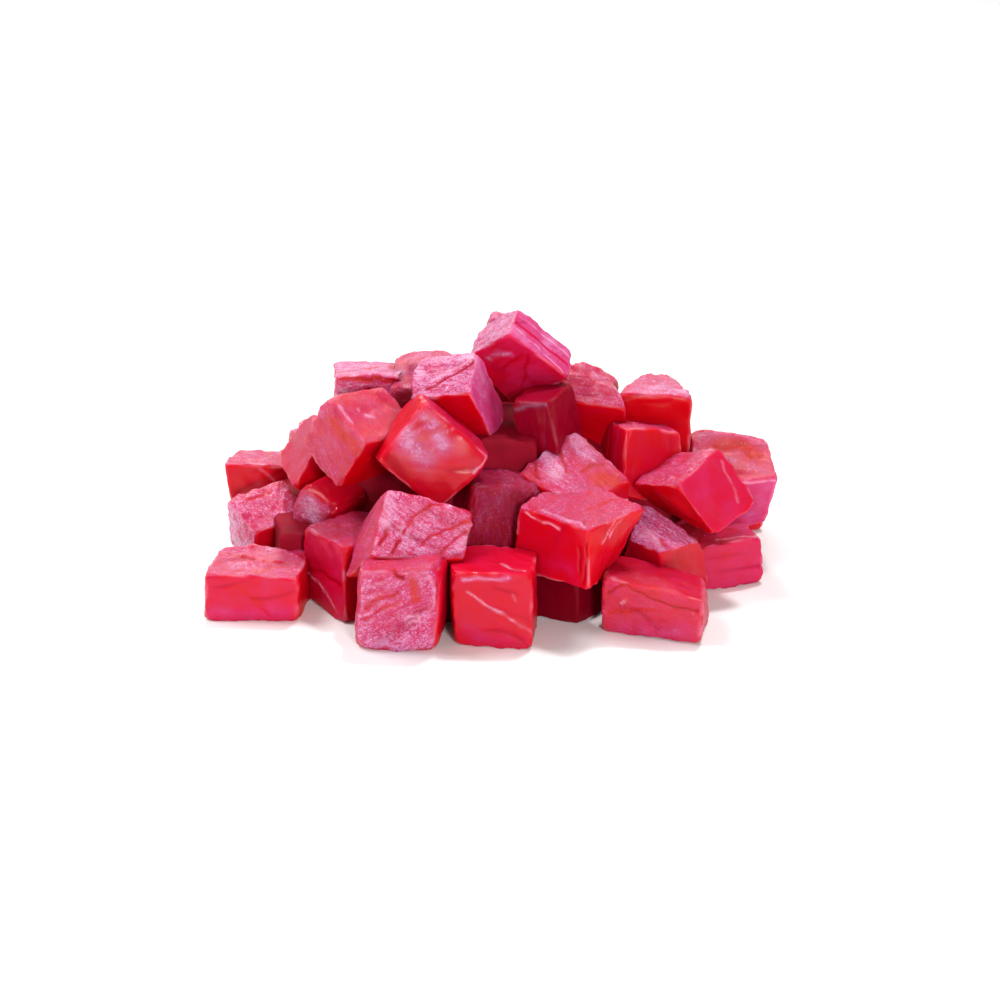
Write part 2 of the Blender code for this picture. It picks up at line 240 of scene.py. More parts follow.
# The flesh of each cube that shows from the front: how pink its left, front, right and top are, from deep red
# at 0 to whitish at 1, partly its own colour and partly painted light and sheen, which way its fibres run
# along its own axes, how much painted shade darkens it, how far its faces swell in millimetres, which sides
# the knife left clean, and how pink its back is
Flesh = namedtuple("Flesh", "left front right top fibres dark swell clean back",
                   defaults=((1, 0, 0), 0, 0.3, "", 0.4))
FLESH = {
    "slab at the left end": Flesh(0.4, 0.34, 0.05, 0.7, (1, 0, 0.35), 0, 0.5, clean="front right"),
    "left of the middle": Flesh(0.35, 0.1, 0.1, 0.62, (0, 1, 0.6), 0.2, clean="left right"),
    "front left": Flesh(0.5, 0.82, 0.15, 0.62, (1, 0, 0.45), 0, 0.8, clean="right"),
    "front middle": Flesh(0.05, 0.2, 0.1, 0.26, (1, 0, -0.35), 0.05, 0.5),
    "in the shade": Flesh(0, 0, 0, 0, (0, 0, 1), 0.85, clean="front"),
    "front right": Flesh(0.4, 0.42, 0.35, 0.36, (1, 0, -0.3), 0.05, 0.5),
    "slab at the right end": Flesh(0.4, 0.48, 0.3, 0.6, (1, 0, 0), clean="front"),
    "left side, lower": Flesh(0.88, 0.02, 0.0, 0.8, (0, 0, 1), 0, 0.4, clean="front"),
    "left side, back": Flesh(0.4, 0.1, 0.1, 0.7, (1, 0, 0.5), 0, 0.3, clean="front"),
    "right of the middle": Flesh(0.2, 0.15, 0.1, 1.0, (0, 1, 0), 0.05, clean="front right"),
    "low on the left slope": Flesh(0.74, 0.1, 0.0, 0.15, (0, 1, 0), 0.25, 0.9, clean="front right"),
    "over the front left": Flesh(0.6, 0.0, 0.1, 0.86, (1, -0.55, 0), 0, 0.4),
    "in the hollow": Flesh(0.4, 0.6, 0.4, 0.7, (0, 0, 1), 0.5, 0.75),
    "over the front right": Flesh(0.1, 0.12, 0.04, 0.66, (0, 0, 1), 0, 0.4, clean="front right"),
    "right slope, on edge": Flesh(0.0, 0.0, 0.4, 0.68, (1, 0, 0), clean="right left"),
    "right end, upper": Flesh(0.3, 0.74, 0.5, 0.6, (1, 0, 0.4), 0, 0.3, clean="front right"),
    "middle of the left slope": Flesh(0.1, 0.16, 0.1, 0.4, (1, 0, 0.7), 0.05, 0.7),
    "left slope, on a corner": Flesh(0.6, 0.0, 0.0, 0.5, (0, 1, 0.4), 0, 0.4),
    "left slope, leaning": Flesh(0.5, 0.1, 0.1, 0.55, (0, 0, 1), clean="front"),
    "middle of the right slope": Flesh(0.1, 0.05, 0.05, 0.72, (0, 1, 0), 0, 0.4),
    "right slope, upright": Flesh(0.2, 0.12, 0.1, 0.7, (0, 0, 1), clean="left front"),
    "under the top": Flesh(0.2, 0.2, 0.2, 0.3, (0, 0, 1), 0.68),
    "left of the top": Flesh(0.5, 0.05, 0.82, 1.0, (1, 0, 0), 0, 0.2, clean="right front"),
    "top": Flesh(1.0, 0.4, 0.8, 1.0, (1, 0, 0), 0, 0.2, clean="left right front"),
    "right of the top": Flesh(0.4, 0.0, 0.3, 0.68, (1, 0, 0), 0.1, clean="front"),
    "right shoulder": Flesh(0.5, 0.0, 0.2, 0.8, (1, 0, 0), clean="front"),
    "left shoulder": Flesh(0.7, 0.88, 0.5, 1.0, (1, 0, 0)),
    "behind the left of the top": Flesh(0.8, 0.65, 0.5, 0.6, (1, 1, 0), 0, 0.7),
    "behind the top": Flesh(0.7, 0.7, 0.7, 0.8),
}
SIDES = {"left": (0, -1), "right": (0, 1), "front": (1, -1), "back": (1, 1), "bottom": (2, -1), "top": (2, 1)}

# Single marks: the side, the kind, the depth and half width in millimetres, and the line that the mark
# follows on that side, from -1 to 1 each way. Some kinds are painted light: the darkening ones are painted
# shade in cracks, notches and folds, the whitish ones painted sheen, the glints painted highlights, and the
# pale ones pale tissue lines with painted highlights.
MARKS = {
    "top": [
        ("right", "pale", -0.05, 0.3, [(0.55, 0.9), (0.5, 0), (0.35, -0.9)]),
        ("right", "red", 0.03, 0.3, [(0, 0.9), (-0.2, 0), (-0.35, -0.85)]),
        ("right", "pale", -0.05, 0.2, [(-0.4, 0.9), (-0.7, 0), (-0.9, -0.85)]),
        ("front", "painted_sheen", -0.1, 0.6, [(-0.35, 0.7), (0.1, 0.7), (0.4, 0.5)]),
        ("front", "blush", 0, 3, [(0.2, -0.4), (0.4, -0.9)]),
        ("front", "dark", 0.15, 0.2, [(0.8, 0.2), (0.1, -0.2), (-0.45, -0.6)]),
        ("front", "dark", 0.15, 0.2, [(0.7, 0.3), (0.2, 0.3), (-0.4, 0.2)]),
        ("front", "pale", 0, 0.25, [(0.2, -0.9), (0.6, -0.9), (0.8, -1)]),
    ],
    "left of the top": [
        ("top", "dark", 0.5, 0.22, [(-0.45, -0.6), (0.3, -0.1), (0.95, 0.4)]),
        ("top", "pale", -0.15, 0.25, [(-0.5, -0.4), (0.2, 0.1), (0.9, 0.6)]),
    ],
    "under the top": [
        ("front", "painted_sheen", -0.1, 0.5, [(-0.9, 0.8), (-0.2, 0.9), (0.8, 0.95)]),
        ("front", "blush", 0.1, 0.25, [(-0.7, 0.5), (-0.8, -0.2)]),
        ("front", "blush", 0.1, 0.25, [(-0.25, 0.7), (-0.4, -0.2)]),
        ("front", "blush", 0.1, 0.25, [(0.2, 0.8), (0, -0.2)]),
        ("front", "blush", 0.1, 0.25, [(0.7, 0.8), (0.45, -0.2)]),
    ],
    "left shoulder": [
        ("front", "red", 0.35, 0.45, [(-1, 0.9), (-0.1, 0.9), (0.5, 0.9), (1, 0.75)]),
        ("front", "dark", 0.3, 0.4, [(0, 0.65), (0.1, 0.6)]),
        ("top", "red", 0.15, 0.4, [(-0.9, -0.5), (0, -0.4), (0.6, 0.2), (0.9, -0.5)]),
    ],
    "behind the left of the top": [
        ("top", "pink", -2.0, 4.5, [(-0.1, 0.4), (0.1, 0.4)]),
    ],
    "left slope, on a corner": [
        ("top", "painted_sheen", -0.1, 0.35, [(-0.9, 0.5), (-0.9, 0.1), (-0.9, -0.1)]),
        ("top", "painted_sheen", -0.1, 0.4, [(-0.35, 0), (-0.15, -0.2)]),
        ("top", "painted_sheen", -0.1, 0.25, [(-0.45, 0.3), (-0.45, 0.2)]),
        ("left", "red", 0.05, 1.2, [(0.3, 0.6), (-0.4, 0.6), (-0.9, 0.6)]),
    ],
    "middle of the left slope": [
        ("front", "painted_sheen", -0.1, 2.6, [(-0.8, 0.1), (-0.6, -0.1), (-0.2, -0.1)]),
        ("front", "dark", 0.1, 1.6, [(-0.8, -0.75), (-0.3, -0.8)]),
        ("front", "painted_sheen", -0.1, 1.6, [(-0.7, 0.7), (-0.3, 0.5), (0, 0.4)]),
        ("front", "glint", -0.12, 0.2, [(-0.9, 0.2), (-0.8, 0.6), (-0.8, 0.9)]),
        ("front", "glint", -0.12, 0.2, [(-0.7, 0.2), (-0.5, 0.7), (-0.35, 0.95)]),
        ("front", "glint", -0.12, 0.2, [(-0.45, 0.1), (-0.25, 0.6), (-0.1, 0.95)]),
        ("front", "glint", -0.1, 0.2, [(-0.2, 0.1), (0, 0.6), (0.2, 0.9)]),
        ("front", "red", 0.2, 0.25, [(-0.8, 0.2), (-0.65, 0.7), (-0.65, 0.9)]),
        ("front", "red", 0.2, 0.25, [(-0.55, 0.1), (-0.35, 0.7), (-0.2, 0.95)]),
        ("front", "pale", -0.1, 0.2, [(0.9, 0.4), (0.9, 0.7), (0.9, 0.95)]),
    ],
    "slab at the left end": [
        ("top", "pink", -0.9, 1.0, [(-0.3, 0.9), (0.3, 0.6), (0.8, 0.3)]),
        ("top", "dark", 0.4, 0.3, [(-0.9, 0.45), (-0.3, 0.2), (0.2, -0.1), (0.7, -0.1)]),
        ("top", "red", 0.2, 0.35, [(-0.4, -0.8), (0.1, -0.7), (0.6, -0.3)]),
        ("front", "red", 0.1, 0.3, [(-0.3, 0.6), (0.1, 0), (0.4, -0.7)]),
        ("front", "blush", 0, 1.6, [(-0.8, -0.6), (0, -0.65), (0.8, -0.6)]),
    ],
    "left of the middle": [
        ("left", "pale", -0.25, 0.25, [(0.75, -0.2), (0.3, -0.3), (-0.2, -0.5)]),
        ("left", "pale", -0.2, 0.2, [(0, -0.5), (-0.4, -0.6), (-0.7, -0.8)]),
        ("left", "dark", 0.3, 0.35, [(0.9, -0.1), (0.2, 0), (-0.8, 0)]),
    ],
    "left side, back": [
        ("front", "pale", -0.1, 0.3, [(-0.1, 0.9), (0.1, 0.8), (0.3, 0.6)]),
    ],
    "left side, lower": [
        ("left", "painted_sheen", -0.1, 1.3, [(0.8, 0.3), (0.6, -0.5)]),
        ("top", "red", 0.3, 0.3, [(-0.5, 0.7), (-0.1, 0.6), (0.3, 0.5)]),
    ],
    "low on the left slope": [
        ("left", "painted_sheen", -0.1, 1.6, [(0.3, 0.7), (-0.4, 0.3)]),
    ],
    "over the front left": [
        ("top", "dark", 0.2, 0.26, [(-0.8, -0.2), (-0.8, -0.4), (-0.9, -0.6)]),
        ("top", "dark", 0.2, 0.26, [(-0.5, -0.45), (-0.55, -0.7), (-0.6, -0.9)]),
        ("top", "red", 0.22, 0.24, [(-0.45, -0.3), (-0.3, 0.2), (0, 0.8), (0.3, 0.95)]),
        ("top", "red", 0.22, 0.24, [(0, -0.6), (0.2, -0.2), (0.6, 0.2), (0.95, 0.6)]),
        ("top", "red", 0.2, 0.22, [(0.45, -0.8), (0.65, -0.3), (0.95, 0.2)]),
        ("top", "painted_sheen", -0.2, 0.7, [(0.65, -0.8), (0.8, -0.6), (0.9, -0.1)]),
        ("top", "painted_sheen", -0.1, 1.0, [(-0.9, 0.8), (-0.9, 0.3), (-0.85, -0.1)]),
    ],
    "front left": [
        ("front", "dark", 0.6, 0.35, [(-0.1, 1), (0, 0.85), (0.1, 0.8)]),
        ("front", "glint", -0.1, 0.2, [(-0.9, 0.5), (-0.6, 0.65), (-0.3, 0.7)]),
        ("front", "glint", -0.1, 0.2, [(-0.9, 0.15), (-0.5, 0.4), (-0.2, 0.5)]),
        ("front", "glint", -0.1, 0.22, [(-0.8, -0.1), (-0.4, 0.2), (0, 0.4)]),
        ("front", "glint", -0.1, 0.2, [(-0.8, -0.35), (-0.3, 0), (0.1, 0.25)]),
        ("front", "glint", -0.1, 0.2, [(-0.6, -0.5), (-0.1, -0.2), (0.25, 0.1)]),
        ("front", "red", 0.2, 0.2, [(-0.8, 0.05), (-0.5, 0.3), (0, 0.45)]),
        ("front", "red", 0.2, 0.2, [(-0.8, -0.2), (-0.3, 0.1), (0.1, 0.3)]),
        ("front", "red", 0.15, 0.8, [(0.35, 0.7), (0.45, 0.3)]),
        ("front", "glint", -0.4, 0.4, [(0.75, 0.8), (0.9, 0.5), (0.9, 0.2), (0.65, -0.1)]),
        ("front", "pale", -0.1, 0.25,
         [(0.2, -0.2), (0.3, -0.1), (0.55, -0.1), (0.6, -0.2), (0.3, -0.3), (0.2, -0.2)]),
        ("front", "blush", -0.1, 1.8, [(-0.8, -0.75), (0, -0.8), (0.75, -0.7)]),
    ],
    "front middle": [
        ("front", "pale", 0.3, 0.25, [(-0.6, 0.5), (-0.2, 0.2), (0.3, -0.1), (0.95, -0.45)]),
        ("front", "painted_sheen", -0.1, 0.4, [(-0.7, 0.8), (-0.3, 0.85), (0.4, 0.9)]),
        ("top", "pale", -0.15, 0.25, [(0.2, -0.4), (0.5, -0.7), (0.8, -0.8)]),
        ("front", "pale", -0.1, 0.25, [(0.5, 0.45), (0.6, 0.35)]),
        ("front", "blush", -0.1, 1.8, [(-0.6, -0.6), (-0.1, -0.75), (0.7, -0.8)]),
    ],
    "over the front right": [
        ("front", "pale", -0.15, 0.22, [(-0.8, 0.9), (-0.3, 0.8), (0.2, 0.75)]),
        ("front", "dark", 0.2, 0.3, [(0.95, 0.5), (0.95, 0), (0.85, -0.8)]),
        ("front", "dark", 0.3, 0.25, [(0.75, 0.3), (0.75, -0.4)]),
        ("front", "blush", -0.1, 1.6, [(-0.1, -0.5), (0.5, -0.5), (0.6, -0.9)]),
        ("top", "painted_sheen", -0.2, 0.3, [(-0.5, -0.8), (0.2, -0.9), (0.8, -0.9)]),
        ("top", "red", 0.2, 0.3, [(0.35, -0.2), (0.3, 0.4), (0.4, 0.8)]),
        ("right", "pale", -0.25, 0.25, [(-0.2, 0.5), (0, 0.8), (0.4, 0.95)]),
        ("right", "pale", -0.25, 0.22, [(-0.5, 0.4), (-0.3, 0.7), (-0.1, 0.95)]),
    ],
    "middle of the right slope": [
        ("top", "dark", 0.2, 0.28, [(0.35, 0.95), (0.1, 0.65), (-0.2, 0.1)]),
        ("top", "dark", 0.2, 0.25, [(0.8, -0.2), (0.45, -0.1), (0.1, -0.1)]),
        ("top", "dark", 0.2, 0.22, [(-0.45, 0.95), (-0.6, 0.8), (-0.8, 0.4)]),
        ("top", "painted_sheen", -0.3, 1.5, [(0.7, 0.8), (0.65, 0.45), (0.6, 0.15)]),
        ("top", "painted_sheen", -0.25, 1.6, [(-0.2, 0.95), (-0.35, 0.5), (-0.45, 0.2)]),
        ("top", "red", 0.1, 2.4, [(0.35, -0.65), (0.55, -0.9)]),
    ],
    "right of the middle": [
        ("top", "painted_sheen", -0.15, 1.4, [(-0.2, 0.55), (-0.4, -0.1), (-0.5, -0.5)]),
        ("top", "red", 0.5, 0.5, [(-0.25, -0.25), (-0.4, -0.6)]),
    ],
    "front right": [
        ("front", "dark", 0.25, 0.22, [(-0.9, 0.4), (-0.55, 0.9), (-0.1, 0.65), (0.45, 0.5), (0.9, 0.45)]),
        ("front", "red", 0.25, 0.35, [(-0.9, -0.25), (-0.4, 0), (0, 0.2)]),
        ("front", "pale", -0.1, 0.25, [(-0.65, 0.2), (-0.55, 0.35)]),
        ("front", "blush", -0.1, 2, [(-0.6, -0.75), (0, -0.75), (0.7, -0.5)]),
    ],
    "slab at the right end": [
        ("top", "pale", -0.2, 0.3, [(-0.35, -0.7), (0.2, -0.8), (0.9, -0.9)]),
    ],
    "right slope, on edge": [
        ("right", "glint", 0.15, 0.22, [(0.75, 0.65), (0.6, 0), (0.4, -0.6)]),
        ("left", "pale", -0.2, 0.3, [(-0.8, 0.3), (-0.2, -0.2), (0.4, -0.6)]),
    ],
    "right end, upper": [
        ("top", "red", 1.0, 1.9, [(-0.3, 0.4), (0.3, 0.6), (0.6, 0.1)]),
        ("top", "pink", -0.4, 0.7, [(-0.7, 0.75), (0, 0.9), (0.6, 0.9), (0.9, 0.6)]),
        ("front", "pale", -0.15, 0.25, [(0.2, 0.95), (0.95, 0.9)]),
    ],
    "right slope, upright": [
        ("left", "blush", 0, 0.8, [(-0.4, 0.85), (-0.4, 0.3), (-0.4, -0.4)]),
    ],
    "right shoulder": [
        ("top", "painted_sheen", -0.2, 1.2, [(-0.15, -0.5), (0.4, -0.3), (0.8, -0.6)]),
    ],
    "right of the top": [
        ("top", "pale", -0.2, 0.3, [(0.35, 0.5), (0.45, 0.3)]),
    ],
}


def hashed(cells, seed):
    """A number from -1 to 1 for each cell of a grid."""
    mixed = cells[:, 0] * 374761393 + cells[:, 1] * 668265263 + cells[:, 2] * 2147483647 + seed * 1274126177
    mixed = mixed & 0xFFFFFFFF
    mixed = ((mixed ^ (mixed >> 13)) * 1103515245) & 0xFFFFFFFF
    mixed = mixed ^ (mixed >> 16)
    return mixed / 0x7FFFFFFF - 1


def noise(points, size, seed=0):
    """Smooth noise from -1 to 1, in lumps of the given size."""
    spot = points / size + 500
    cell = np.floor(spot).astype(np.int64)
    part = spot - cell
    part = part ** 3 * (part * (part * 6 - 15) + 10)
    total = np.zeros(len(points))
    for corner in product((0, 1), repeat=3):
        weight = np.prod(np.where(corner, part, 1 - part), axis=1)
        total += weight * hashed(cell + np.array(corner), seed)
    return total


def smooth(value, low, high):
    """0 below low, 1 above high, and an easy curve between."""
    part = np.clip((value - low) / (high - low), 0, 1)
    return part * part * (3 - 2 * part)


def grid_of(count):
    """The surface of a cube from -1 to 1, count by count squares a side, smaller near its edges."""
    mesh = bmesh.new()
    bmesh.ops.create_cube(mesh, size=2)
    bmesh.ops.subdivide_edges(mesh, edges=mesh.edges[:], cuts=count - 1, use_grid_fill=True)
    mesh.verts.index_update()
    points = np.array([vert.co[:] for vert in mesh.verts])
    quads = np.array([[vert.index for vert in face.verts] for face in mesh.faces])
    mesh.free()
    return np.sin(points * 1.15) / math.sin(1.15), quads


def cut_corners(cube):
    """How far each corner of the cube is off square, as the solid has it."""
    knife = random.Random(cube.place)
    mesh = bmesh.new()
    bmesh.ops.create_cube(mesh, size=2)
    corners = {}
    for vert in mesh.verts:
        sign = tuple(int(round(c)) for c in vert.co)
        corners[sign] = np.array([knife.uniform(-CORNER_UNEVENNESS, CORNER_UNEVENNESS) for _ in range(3)])
    mesh.free()
    return corners


def shaped(points, cube, lie):
    """Points of a cube from -1 to 1 moved to where this cube has them in the heap, in millimetres."""
    def share(signs):
        return (np.prod((1 + points * np.array(signs)) / 2, axis=1))[:, None]

    spot = points + sum(share(signs) * amount for signs, amount in cut_corners(cube).items())
    half = np.array(cube.size) / 2
    spread = 1 + cube.taper * spot[:, 2]
    wide = half[0] * spot[:, 0] * spread * (1 - cube.pinch * spot[:, 1])
    deep = half[1] * spot[:, 1] * spread
    high = half[2] * spot[:, 2] * (1 + cube.wedge * spot[:, 0])
    placed = np.stack([wide, deep, high], axis=1) @ lie.T + np.array(cube.middle) + SHIFT
    for corner, move in MOVED_CORNERS.get(cube.place, {}).items():
        placed += share([SIGNS[side] for side in corner.split()]) * np.array(move)
    return placed


def distance_to_line(flat, line):
    """How far points of a plane are from a line through the given points."""
    nearest = np.full(len(flat), 1e9)
    for start, end in zip(line, line[1:]):
        start, end = np.array(start, float), np.array(end, float)
        along = end - start
        part = np.clip((flat - start) @ along / (along @ along), 0, 1)
        nearest = np.minimum(nearest, np.linalg.norm(flat - start - part[:, None] * along, axis=1))
    return nearest


def fibre_frame(along, chance):
    """A rotation matrix whose first column runs along the fibres."""
    first = np.array(along, float)
    first /= np.linalg.norm(first)
    other = np.cross(first, np.array([chance.uniform(-1, 1) for _ in range(3)]))
    other /= np.linalg.norm(other)
    return np.stack([first, other, np.cross(first, other)], axis=1)


def point_normals(points, quads):
    """The way each point of a closed skin faces."""
    across = np.cross(points[quads[:, 2]] - points[quads[:, 0]], points[quads[:, 3]] - points[quads[:, 1]])
    normals = np.zeros_like(points)
    for corner in range(4):
        np.add.at(normals, quads[:, corner], across)
    return normals / np.linalg.norm(normals, axis=1)[:, None]


def lie_of(cube):
    """The rotation matrix of a cube as it lies in the heap."""
    turned = Euler([math.radians(angle) for angle in (cube.tip, cube.roll, cube.turn)], "ZXY")
    return np.array(turned.to_matrix())


def crowding(points, normals, cube):
    """How closely other cubes stand before each point, from 0 in the open to 1 where they touch."""
    crowded = np.zeros(len(points))
    centre = np.array(cube.middle)
    others = [other for layer in LAYERS.values() for other in layer if other is not cube]
    for reach, share in CROWDING_REACHES:
        ahead = points - SHIFT + normals * reach
        gap = np.full(len(points), float(reach))
        for other in others:
            away = np.array(other.middle) - centre
            if np.linalg.norm(away) > (np.linalg.norm(cube.size) + np.linalg.norm(other.size)) / 2 + reach:
                continue
            inside = np.abs((ahead - np.array(other.middle)) @ lie_of(other)) - np.array(other.size) / 2
            gap = np.minimum(gap, inside.max(axis=1))
        crowded += share * smooth(-gap, -0.5 * reach, 0)
    return crowded


def unseen_flesh(fibres, chance):
    """The flesh of a cube that doesn't show from the front, by chance."""
    left, front, right, back = (chance.uniform(0.1, 0.75) for _ in range(4))
    clean = chance.choice(("left", "front", "right", "back"))
    # painted sheen: the top is pinker than the sides
    top = chance.uniform(0.55, 0.85)
    return Flesh(left, front, right, top, fibres, 0, chance.uniform(0.3, 0.8), clean, back)


def add_marks(cube, grid, normals, flesh, seed, wrinkles, looks):
    """Puts the cube's single marks in the looks of its skin, and returns their relief in millimetres."""
    relief = np.zeros(len(grid))
    half = np.array(cube.size) / 2
    height, lump = MARK_WANDER
    wander = height * np.stack([noise(flesh, lump, seed + 8), noise(flesh, lump, seed + 9)], axis=1)
    for side, kind, depth, width, line in MARKS.get(cube.place, ()):
        axis, sign = SIDES[side]
        flat_axes = [a for a in range(3) if a != axis]
        flat = grid[:, flat_axes] * half[flat_axes] + wander
        away = distance_to_line(flat, [np.array(point) * half[flat_axes] for point in line])
        mark = np.exp(-(away / width) ** 2) * smooth(normals[:, axis] * sign, 0.3, 0.8)
        if kind in ("pale", "glint"):
            mark = mark * (0.25 + 0.75 * smooth(noise(flesh, 1.6, seed + 14), -0.5, 0.3))
        relief -= depth * mark
        if kind in ("dark", "red"):
            looks["pink"] *= 1 - mark
        # painted shade: these marks darken cracks, notches and folds
        if kind == "dark":
            looks["deep"] = np.maximum(looks["deep"], 0.7 * mark)
        # pale marks are pale tissue lines, partly painted highlights along them
        elif kind == "pale":
            looks["pale"] = np.maximum(looks["pale"], 0.8 * mark)
        elif kind == "glint":
            looks["pale"] = np.maximum(looks["pale"], 0.35 * mark)
        elif kind == "pink":
            looks["pink"] += (0.85 - looks["pink"]) * mark
        # painted sheen: these marks make the torn flesh whitish where it shines
        elif kind == "painted_sheen":
            looks["pink"] += (1.2 - looks["pink"]) * 0.85 * mark
            looks["torn"] = np.maximum(looks["torn"], mark)
            looks["pale"] = np.maximum(looks["pale"], 0.45 * mark * (0.5 + 0.5 * wrinkles))
        elif kind == "blush":
            looks["pink"] += 0.25 * mark
    return relief


def cut_cube(cube, grid, quads):
    """One cube's skin: points in millimetres, and what its flesh looks like at each."""
    seed = sum(ord(letter) * (place + 1) for place, letter in enumerate(cube.place))
    chance = random.Random(seed)
    fibres = [chance.uniform(-1, 1) for _ in range(3)]
    look = FLESH.get(cube.place, unseen_flesh(fibres, random.Random(seed + 1)))
    # the cubes inside the heap get no pinkness, and painted shade
    if cube in LAYERS["inside"]:
        look = look._replace(left=0, front=0, right=0, top=0, dark=0.75)
    half = np.array(cube.size) / 2
    lie = lie_of(cube)

    # the knife leaves the edges soft and the corners softer
    spots = grid * half
    ordered = np.sort(np.abs(grid), axis=1)
    cornered = smooth(ordered[:, 0], 0.5, 1.0)
    rounding = EDGE_ROUNDING + CORNER_ROUNDING * cornered
    rounding += ROUNDING_CHANGES[0] * noise(spots, ROUNDING_CHANGES[1], seed)
    rounding += ROUNDING_BY_SWELL * max(look.swell - SWELL_THAT_ROUNDS, 0)
    inner = np.clip(spots, -(half - rounding[:, None]), half - rounding[:, None])
    normals = spots - inner
    normals /= np.linalg.norm(normals, axis=1)[:, None]
    spots = inner + normals * rounding[:, None]

    fibres = fibre_frame(look.fibres, chance)
    flesh = spots @ fibres + np.array([chance.uniform(0, 90) for _ in range(3)])
    edge = smooth(ordered[:, 1], 0.9, 1.0)
    middle = (1 - ordered[:, 0] ** 2) * (1 - ordered[:, 1] ** 2)

    # which side each point is on, with a ragged change at the edges
    ragged = normals + 0.22 * np.stack([noise(flesh, 1.5, seed + n) for n in (11, 12, 13)], axis=1)
    weights = {side: np.clip(ragged[:, axis] * sign, 0, 1) ** 8 for side, (axis, sign) in SIDES.items()}
    total = sum(weights.values()) + 1e-6
    weights = {side: weight / total for side, weight in weights.items()}

    out = np.zeros(len(grid))
    for side in SIDES:
        out += weights[side] * middle * look.swell * chance.uniform(0.2, 1.0)
    out += LARGE_LUMPS[0] * noise(flesh, LARGE_LUMPS[1], seed)
    out += SMALL_LUMPS[0] * noise(flesh, SMALL_LUMPS[1], seed + 1)
    out += EDGE_LUMPS[0] * edge * noise(flesh, EDGE_LUMPS[1], seed + 2)

    # fibres, and the curved seams between the layers of muscle
    stretched = flesh * np.array((0.14, 1.0, 1.0))
    ridges = 1 - 2 * np.abs(noise(stretched, RIDGES[1], seed + 3))
    spacing = chance.uniform(*SEAM_SPACING)
    layer = (flesh[:, 1] + 1.3 * noise(flesh, 8.0, seed + 4)) / spacing
    off_seam = np.abs(layer - np.floor(layer) - 0.5) * spacing
    seam = np.exp(-(off_seam / SEAM_WIDTH) ** 2) * smooth(noise(flesh, 6.0, seed + 5), 0.05, 0.45)
    out += RIDGES[0] * ridges - SEAM_DEPTH * seam

    pink = weights["back"] * look.back + weights["bottom"] * 0.2
    for side in ("left", "front", "right", "top"):
        pink = pink + weights[side] * getattr(look, side)
    cut_clean = sum([weights[side] for side in look.clean.split()], np.zeros(len(grid)))
    torn = smooth(pink, 0.2, 0.7) * (1 - cut_clean)
    grains = noise(flesh * np.array((0.6, 1.0, 1.0)), GRAINS[1], seed + 6)
    wrinkles = 1 - 2 * np.abs(noise(flesh * np.array((0.35, 1.0, 1.0)), WRINKLES[1], seed + 10))
    out += torn * (GRAINS[0] * grains + WRINKLES[0] * wrinkles)
    # painted sheen: the tops of the grains and wrinkles are pinker
    pink = pink + torn * (GRAINS_PAINTED_SHEEN * grains + WRINKLES_PAINTED_SHEEN * wrinkles)
    # painted highlight: a patchy pale rim along the edges
    pale = edge * smooth(noise(flesh, 3.0, seed + 7), -0.1, 0.6) * 0.3
    looks = {"pink": pink, "deep": 0.35 * seam, "pale": pale, "torn": torn}
    out += add_marks(cube, grid, normals, flesh, seed, wrinkles, looks)

    # into the heap, where painted shade darkens it and makes it less pink where other cubes stand close by
    spots = spots + normals * out[:, None]
    points = shaped(spots / half, cube, lie)
    points[:, 2] = np.maximum(points[:, 2], 0)
    facing = point_normals(points, quads)
    # painted sheen: unseen cubes are pinker where they face up
    if cube.place not in FLESH:
        looks["pink"] *= 0.75 + 0.4 * smooth(facing[:, 2], 0.0, 0.8)
    crowded = crowding(points, facing, cube)
    looks["pink"] *= 1 - 0.4 * crowded
    looks["deep"] = np.maximum(looks["deep"], 0.42 * crowded)
    looks = {name: np.clip(values, 0, 1) for name, values in looks.items()}
    # painted shade over the whole cube, as much as its flesh entry gives
    looks["dark"] = np.full(len(grid), float(look.dark))
    looks["flesh"] = flesh
    return points, looks


def mesh_object(name, points, quads, looks):
    """A mesh object from points in millimetres, with a value for each point of what its flesh looks like."""
    mesh = bpy.data.meshes.new(name)
    mesh.vertices.add(len(points))
    mesh.vertices.foreach_set("co", (points * MM).astype(np.float32).ravel())
    mesh.loops.add(quads.size)
    mesh.loops.foreach_set("vertex_index", quads.astype(np.int32).ravel())
    mesh.polygons.add(len(quads))
    mesh.polygons.foreach_set("loop_start", np.arange(0, quads.size, 4, dtype=np.int32))
    mesh.update(calc_edges=True)
    mesh.shade_smooth()
    for look, values in looks.items():
        if values.ndim == 2:
            layer = mesh.attributes.new(look, "FLOAT_VECTOR", "POINT")
            layer.data.foreach_set("vector", values.astype(np.float32).ravel())
        else:
            layer = mesh.attributes.new(look, "FLOAT", "POINT")
            layer.data.foreach_set("value", values.astype(np.float32))
    obj = bpy.data.objects.new(name, mesh)
    bpy.context.scene.collection.objects.link(obj)
    return obj


def node(tree, kind, inputs=None, **settings):
    """A shader node with its settings and its inputs, each a value or another node's output."""
    made = tree.nodes.new(kind)
    for name, value in settings.items():
        setattr(made, name, value)
    for name, value in (inputs or {}).items():
        if isinstance(value, bpy.types.NodeSocket):
            tree.links.new(value, made.inputs[name])
        else:
            made.inputs[name].default_value = value
    return made


def mixed(tree, factor, first, second, blend="MIX"):
    """The first colour, with the second over it by a factor."""
    mix = tree.nodes.new("ShaderNodeMix")
    mix.data_type = "RGBA"
    mix.blend_type = blend
    for socket, value in ((mix.inputs[0], factor), (mix.inputs[6], first), (mix.inputs[7], second)):
        if isinstance(value, bpy.types.NodeSocket):
            tree.links.new(value, socket)
        else:
            socket.default_value = value
    return mix.outputs[2]


